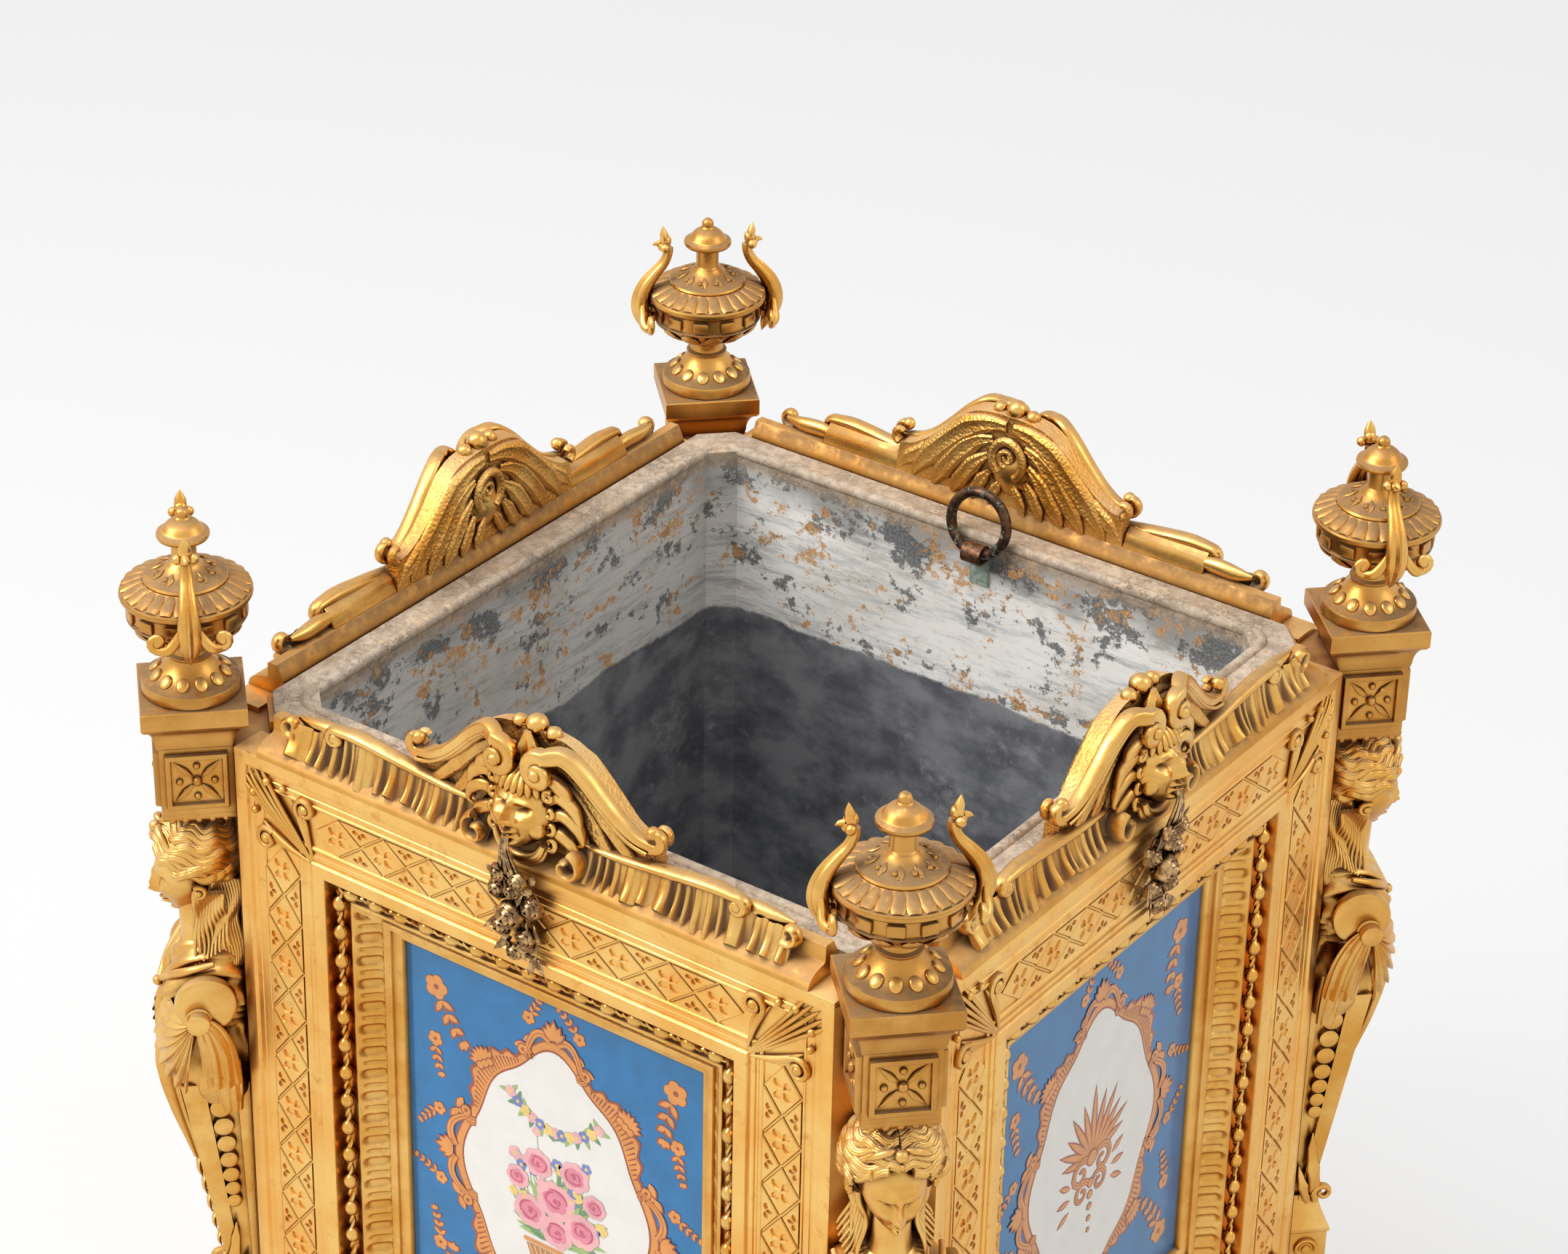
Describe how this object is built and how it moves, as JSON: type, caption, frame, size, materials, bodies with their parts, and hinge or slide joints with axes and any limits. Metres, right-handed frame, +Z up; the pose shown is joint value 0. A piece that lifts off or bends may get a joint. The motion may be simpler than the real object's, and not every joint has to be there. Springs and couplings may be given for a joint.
{
  "type": "jardiniere",
  "caption": "Square gilt-bronze floor jardiniere with framed plaques, herm corners, urn finials, pierced crests and a lift-out zinc liner with folding lifting rings.",
  "frame": {"origin": "on the floor under the centre of the jardiniere", "axes": "+Z up, -Y out of the front panel, +X out of the right panel"},
  "size_m": [0.3494, 0.3494, 0.4353],
  "materials": {
    "gilt_bronze": "satin and burnished gilding with brown in the hollows",
    "dark_bronze": "unburnished gilding, shaded",
    "painted_plaque": "glossy painted glaze",
    "plain_brass": "rolled sheet",
    "blackened_silver": "tarnished silvering over gilding",
    "oak": "planed, unpolished",
    "steel": "plain turned",
    "painted_zinc": "worn whitish paint over dark zinc",
    "copper_strap": "bare copper",
    "aged_bronze": "brown patina with a little verdigris"
  },
  "bodies": {
    "case": {"base_board": "oak", "base_plinth": "gilt_bronze", "bead_string_back": "gilt_bronze", "bead_string_front": "gilt_bronze", "bead_string_left": "gilt_bronze", "bead_string_right": "gilt_bronze", "bouquet_back": "blackened_silver", "bouquet_front": "blackened_silver", "bouquet_left": "blackened_silver", "bouquet_right": "blackened_silver", "corner_post_back_left": "dark_bronze", "corner_post_back_right": "dark_bronze", "corner_post_front_left": "dark_bronze", "corner_post_front_right": "dark_bronze", "crest_back": "gilt_bronze", "crest_front": "gilt_bronze", "crest_left": "gilt_bronze", "crest_right": "gilt_bronze", "foot_back_left": "gilt_bronze", "foot_back_right": "gilt_bronze", "foot_bolts": "steel", "foot_front_left": "gilt_bronze", "foot_front_right": "gilt_bronze", "frame_screws": "steel", "herm_back_left": "gilt_bronze", "herm_back_right": "gilt_bronze", "herm_front_left": "gilt_bronze", "herm_front_right": "gilt_bronze", "impost_back_left": "gilt_bronze", "impost_back_right": "gilt_bronze", "impost_front_left": "gilt_bronze", "impost_front_right": "gilt_bronze", "panel_frame_back": "gilt_bronze", "panel_frame_front": "gilt_bronze", "panel_frame_left": "gilt_bronze", "panel_frame_right": "gilt_bronze", "plaque_back": "painted_plaque", "plaque_backings": "plain_brass", "plaque_front": "painted_plaque", "plaque_left": "painted_plaque", "plaque_right": "painted_plaque", "rim_rail_back": "gilt_bronze", "rim_rail_front": "gilt_bronze", "rim_rail_left": "gilt_bronze", "rim_rail_right": "gilt_bronze", "sight_frame_back": "gilt_bronze", "sight_frame_front": "gilt_bronze", "sight_frame_left": "gilt_bronze", "sight_frame_right": "gilt_bronze", "urn_body_back_left": "gilt_bronze", "urn_body_back_right": "gilt_bronze", "urn_body_front_left": "gilt_bronze", "urn_body_front_right": "gilt_bronze", "urn_handles": "gilt_bronze", "urn_lids": "gilt_bronze", "urn_rods": "steel"},
    "liner": {"liner": "painted_zinc", "ring_straps": "copper_strap"},
    "ring_back": {"lifting_ring_back": "aged_bronze"},
    "ring_front": {"lifting_ring_front": "aged_bronze"}
  },
  "joints": [
    {"name": "liner_lift", "type": "slide", "parent": "case", "child": "liner", "axis": [0, 0, 1], "range_m": [0, 0.3]},
    {"name": "ring_back_swing", "type": "hinge", "parent": "liner", "child": "ring_back", "pos_m": [0, 0.11595, 0.3525], "axis": [1, 0, 0], "range_deg": [0, 165]},
    {"name": "ring_front_swing", "type": "hinge", "parent": "liner", "child": "ring_front", "pos_m": [0, -0.11595, 0.3525], "axis": [-1, 0, 0], "range_deg": [0, 165]}
  ]
}
